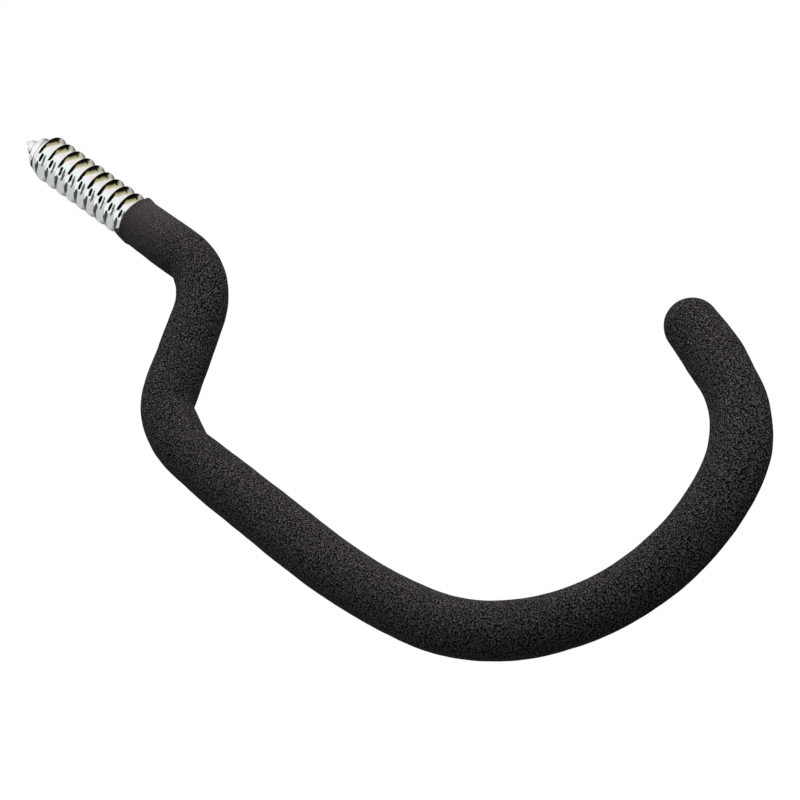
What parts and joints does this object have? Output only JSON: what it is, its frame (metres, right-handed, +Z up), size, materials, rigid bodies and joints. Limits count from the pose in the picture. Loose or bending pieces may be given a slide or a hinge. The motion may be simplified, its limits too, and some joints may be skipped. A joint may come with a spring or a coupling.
{
  "type": "screw-in utility hook",
  "caption": "Screw-in storage hook: steel rod with a wood-screw thread, an offset jog, a straight shank and a wide open J bend, dipped in a black vinyl coating.",
  "frame": {"origin": "on the screw's axis, level with the coating's upper edge, where the screw enters the joist", "axes": "+Z up along the screw towards its point; the hook lies in the XZ plane, with its shank on the -X side and its free end on the +X side"},
  "size_m": [0.0752, 0.0094, 0.1629],
  "materials": {
    "zinc_steel": "bright zinc plate",
    "black_vinyl": "matte pebbled dip coating"
  },
  "bodies": {
    "root": {"steel_hook": "zinc_steel", "vinyl_coating": "black_vinyl"}
  },
  "joints": []
}
